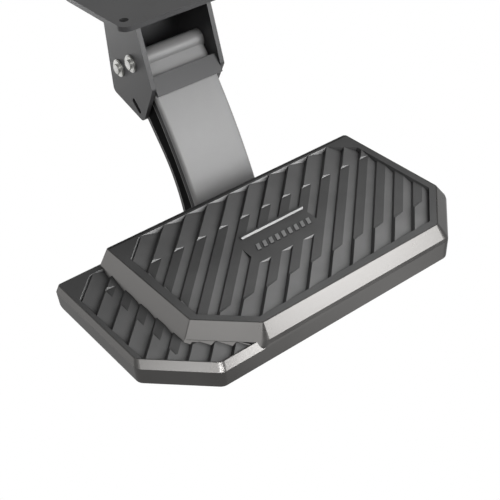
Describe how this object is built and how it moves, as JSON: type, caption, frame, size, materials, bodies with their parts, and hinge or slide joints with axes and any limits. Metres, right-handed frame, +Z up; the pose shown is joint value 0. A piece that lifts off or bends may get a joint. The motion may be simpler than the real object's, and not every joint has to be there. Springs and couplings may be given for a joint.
{
  "type": "retractable truck step",
  "caption": "Two-tier cast truck step with diagonally ribbed treads, carried by curved swing arms that fold it back under the vehicle.",
  "frame": {"origin": "middle of the bracket's bolting face, at the centre of its four bolt holes", "axes": "+X along the step towards its high right end, -Y outboard towards the person who steps, +Z up towards the vehicle's frame"},
  "size_m": [0.44, 0.4676, 0.2849],
  "materials": {
    "bracket_steel": "satin",
    "zinc_steel": "zinc plated",
    "stop_rubber": "matt",
    "arm_steel": "satin",
    "bush_bronze": "sintered",
    "step_casting": "coated, satin",
    "tread_plastic": "satin",
    "inlay_rubber": "matt"
  },
  "bodies": {
    "bracket": {"mounting_bracket": "bracket_steel", "upper_front_pin": "zinc_steel", "upper_rear_pin": "zinc_steel", "upper_pin_washers": "zinc_steel", "upper_pin_rings": "zinc_steel", "outer_stop_bumper": "stop_rubber", "inner_stop_bumper": "stop_rubber"},
    "arm": {"front_arm": "arm_steel", "front_arm_bushes": "bush_bronze"},
    "link": {"rear_link": "arm_steel", "rear_link_bushes": "bush_bronze"},
    "step": {"step_casting": "step_casting", "upper_tread": "tread_plastic", "lower_tread": "tread_plastic", "grip_inlay": "inlay_rubber", "upper_tread_screws": "zinc_steel", "lower_tread_screws": "zinc_steel", "step_carrier": "bracket_steel", "carrier_bolts": "zinc_steel", "carrier_washers": "zinc_steel", "lower_front_pin": "zinc_steel", "lower_rear_pin": "zinc_steel", "lower_pin_washers": "zinc_steel", "lower_pin_rings": "zinc_steel"}
  },
  "joints": [
    {"name": "arm_swing", "type": "hinge", "parent": "bracket", "child": "arm", "pos_m": [0, -0.03, -0.0665], "axis": [1, 0, 0], "range_deg": [0, 38]},
    {"name": "link_swing", "type": "hinge", "parent": "bracket", "child": "link", "pos_m": [0, 0.00061, -0.08347], "axis": [1, 0, 0], "range_deg": [0, 38]},
    {"name": "step_level", "type": "hinge", "parent": "arm", "child": "step", "pos_m": [0, -0.13356, -0.25298], "axis": [1, 0, 0], "range_deg": [-38, 0]}
  ],
  "couplings": [
    {"joint": "link_swing", "follows": "arm_swing", "ratio": 1},
    {"joint": "step_level", "follows": "arm_swing", "ratio": -1}
  ]
}
